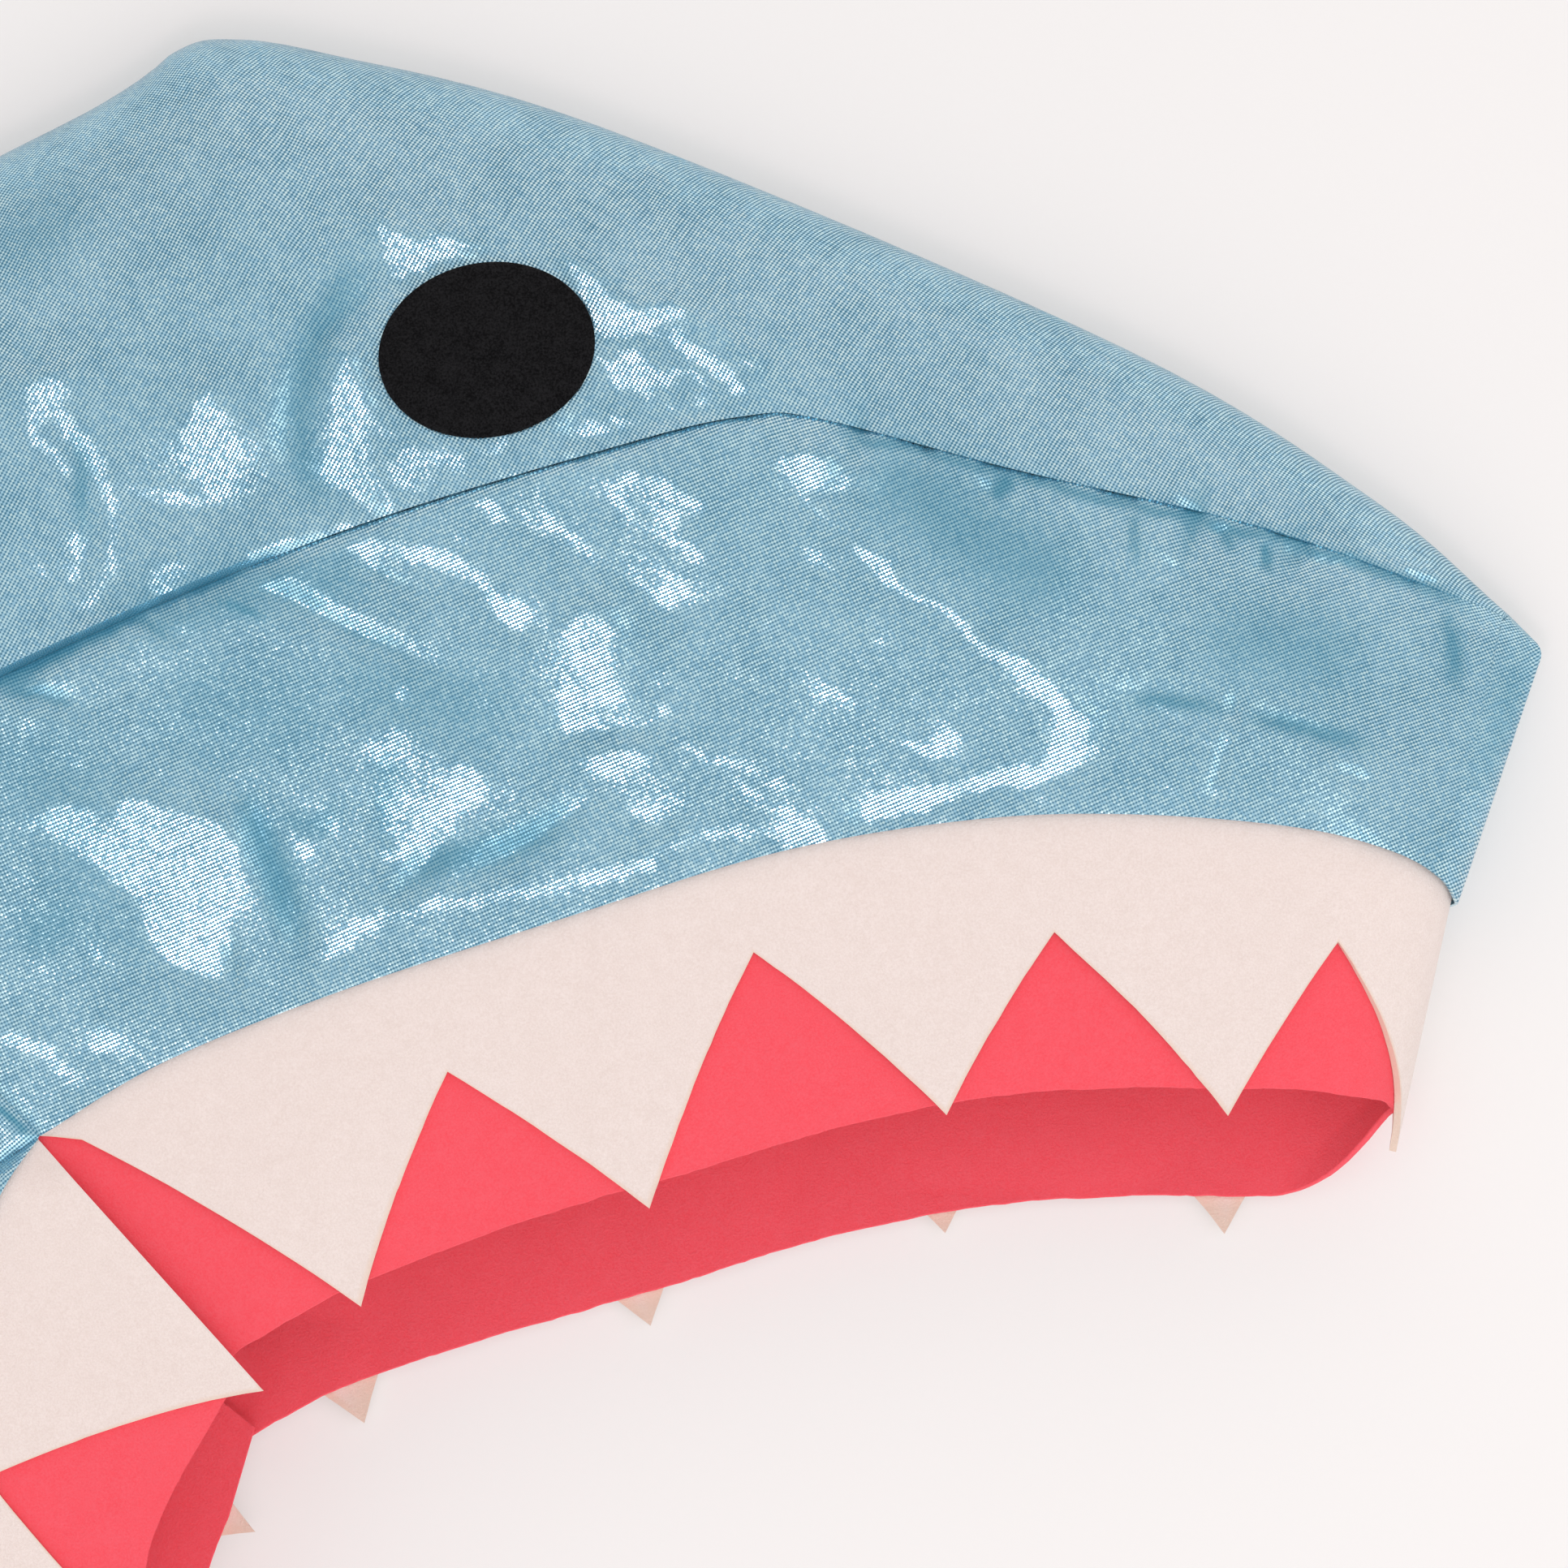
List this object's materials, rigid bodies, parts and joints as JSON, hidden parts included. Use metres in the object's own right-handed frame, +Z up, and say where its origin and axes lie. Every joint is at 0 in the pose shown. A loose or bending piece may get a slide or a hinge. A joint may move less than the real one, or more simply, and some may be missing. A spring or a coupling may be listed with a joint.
{
  "type": "shark dress-up hood",
  "caption": "Child's dress-up hood shaped as a shark's head, laid on its side: shimmering blue cloth, felt eyes, felt teeth round an open mouth, hollow for the head, with a swinging lower jaw.",
  "frame": {"origin": "centre of the bounding box on the table plane", "axes": "+X towards the nose, +Y towards the crown, +Z up from the table, out of the hood's right side"},
  "size_m": [0.4544, 0.3962, 0.0496],
  "materials": {
    "shimmer_cloth": "blue plain-weave cloth with silvery shimmer threads",
    "white_felt": "off-white pressed felt",
    "coral_felt": "coral red pressed felt",
    "black_felt": "black pressed felt",
    "lining_cloth": "plain matt blue lining cloth",
    "wadding": "white polyester wadding"
  },
  "bodies": {
    "head": {"cheek_panel_left": "shimmer_cloth", "cheek_panel_right": "shimmer_cloth", "crown_panel_left": "shimmer_cloth", "crown_panel_right": "shimmer_cloth", "eye_left": "black_felt", "eye_right": "black_felt", "lining_left": "lining_cloth", "lining_right": "lining_cloth", "neck_facing_left": "lining_cloth", "neck_facing_right": "lining_cloth", "snout_panel_left": "shimmer_cloth", "snout_panel_right": "shimmer_cloth", "upper_mouth_felt_left": "coral_felt", "upper_mouth_felt_right": "coral_felt", "upper_teeth_left": "white_felt", "upper_teeth_right": "white_felt", "wadding_left": "wadding", "wadding_right": "wadding"},
    "lower_jaw": {"lower_mouth_felt_left": "coral_felt", "lower_mouth_felt_right": "coral_felt", "lower_teeth_left": "white_felt", "lower_teeth_right": "white_felt", "throat_facing_left": "lining_cloth", "throat_facing_right": "lining_cloth", "throat_panel_left": "shimmer_cloth", "throat_panel_right": "shimmer_cloth"}
  },
  "joints": [
    {"name": "jaw_swing", "type": "hinge", "parent": "head", "child": "lower_jaw", "pos_m": [-0.07025, -0.01912, 0], "axis": [0, 0, 1], "range_deg": [0, 18]}
  ]
}
